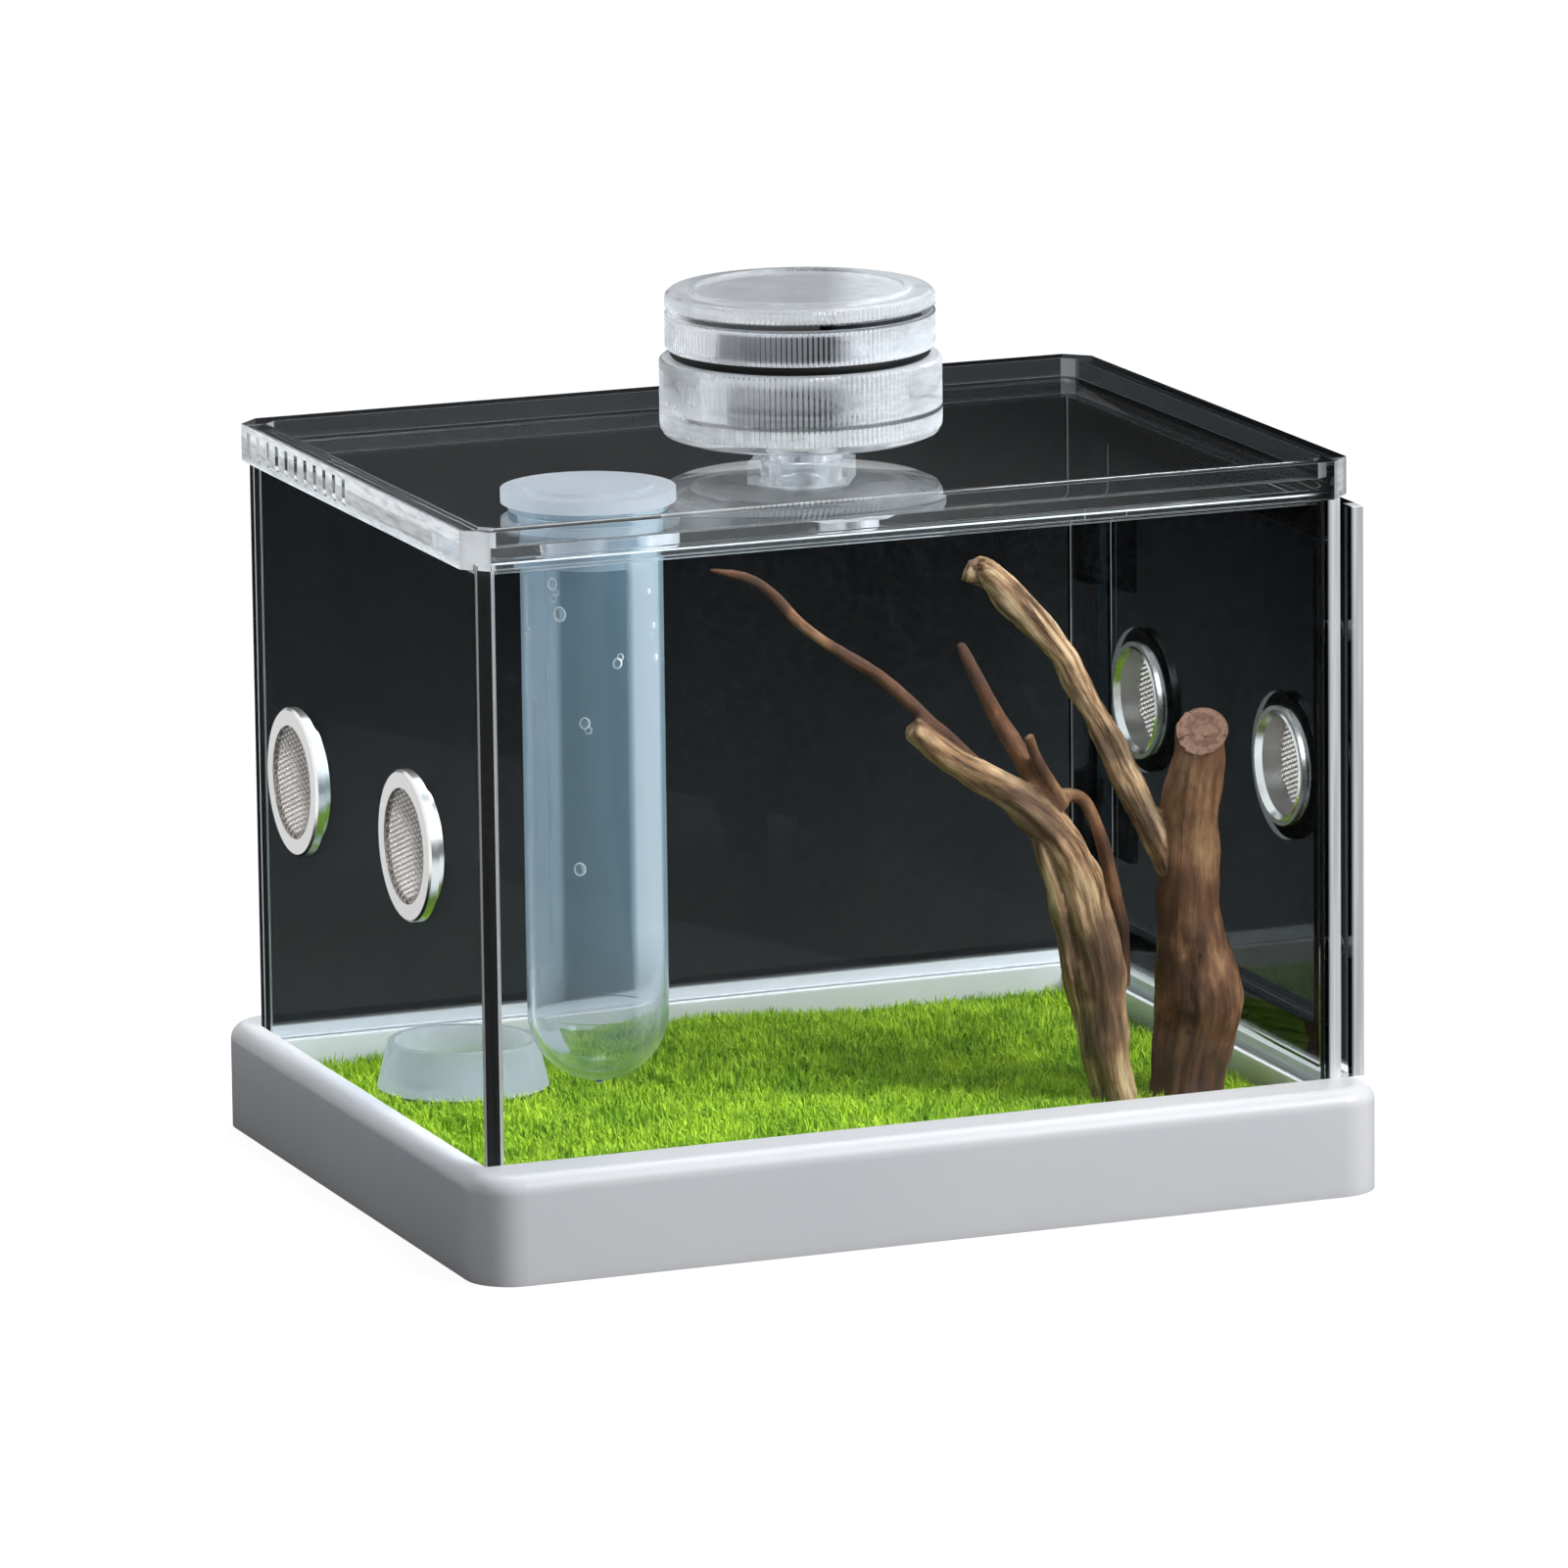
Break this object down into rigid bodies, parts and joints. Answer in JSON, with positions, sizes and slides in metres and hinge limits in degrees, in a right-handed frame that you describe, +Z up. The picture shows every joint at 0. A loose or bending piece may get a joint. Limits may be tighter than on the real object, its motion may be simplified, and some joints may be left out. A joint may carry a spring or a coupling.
{
  "type": "plastic pet keeper",
  "caption": "Clear keeper box on a milky tray, with a lift-off lid, screw-top feeder, hanging water tube, hinged side door, mesh vents, turf and driftwood.",
  "frame": {"origin": "centre of the tray's flat underside", "axes": "+X to the side door, +Y to the back wall, +Z up"},
  "size_m": [0.1657, 0.134, 0.1526],
  "materials": {
    "clear_acrylic": "polished clear",
    "milky_plastic": "satin, milky",
    "turf": "short pile",
    "driftwood": "weathered, dry",
    "black_rubber": "smooth",
    "magnet_steel": "plated",
    "pin_steel": "drawn",
    "vent_steel": "polished",
    "mesh_steel": "woven",
    "tube_plastic": "polished clear",
    "frosted_plastic": "frosted",
    "dish_plastic": "frosted clear",
    "feeder_plastic": "polished clear, knurled"
  },
  "bodies": {
    "base": {"base_tray": "milky_plastic", "front_wall": "clear_acrylic", "back_wall": "clear_acrylic", "left_wall": "clear_acrylic", "right_frame": "clear_acrylic", "turf_mat": "turf", "frame_leaf_upper": "clear_acrylic", "frame_leaf_lower": "clear_acrylic", "frame_magnets": "magnet_steel", "vent_housing_left_rear": "vent_steel", "vent_housing_left_front": "vent_steel", "vent_mesh_left_rear": "mesh_steel", "vent_mesh_left_front": "mesh_steel", "vent_ring_left_rear": "vent_steel", "vent_ring_left_front": "vent_steel", "driftwood_left": "driftwood", "driftwood_right": "driftwood", "feeding_dish": "dish_plastic"},
    "door": {"side_door": "clear_acrylic", "door_leaf_upper": "clear_acrylic", "door_leaf_lower": "clear_acrylic", "hinge_pin_upper": "pin_steel", "hinge_pin_lower": "pin_steel", "door_magnets": "magnet_steel", "vent_housing_door_rear": "vent_steel", "vent_housing_door_front": "vent_steel", "vent_mesh_door_rear": "mesh_steel", "vent_mesh_door_front": "mesh_steel", "vent_ring_door_rear": "vent_steel", "vent_ring_door_front": "vent_steel"},
    "lid": {"lid": "clear_acrylic", "feeder_cup": "feeder_plastic", "feeder_nut": "feeder_plastic"},
    "seal": {"feeder_seal": "black_rubber"},
    "cap": {"feeder_cap": "feeder_plastic"},
    "tube": {"water_tube": "tube_plastic"},
    "plug": {"tube_plug": "frosted_plastic"}
  },
  "joints": [
    {"name": "door_swing", "type": "hinge", "parent": "base", "child": "door", "pos_m": [0.0809, 0.049, 0], "axis": [0, 0, 1], "range_deg": [0, 110]},
    {"name": "lid_lift", "type": "slide", "parent": "base", "child": "lid", "axis": [0, 0, 1], "range_m": [0, 0.11]},
    {"name": "seal_lift", "type": "slide", "parent": "lid", "child": "seal", "axis": [0, 0, 1], "range_m": [0, 0.0061]},
    {"name": "cap_turn", "type": "hinge", "parent": "seal", "child": "cap", "pos_m": [0.0025, 0, 0.142], "axis": [0, 0, 1], "range_deg": [0, 720]},
    {"name": "tube_lift", "type": "slide", "parent": "lid", "child": "tube", "axis": [0, 0, 1], "range_m": [0, 0.105]},
    {"name": "plug_lift", "type": "slide", "parent": "tube", "child": "plug", "axis": [0, 0, 1], "range_m": [0, 0.02]}
  ],
  "couplings": [
    {"joint": "seal_lift", "follows": "cap_turn", "m_per_rad": 0.00047746}
  ]
}
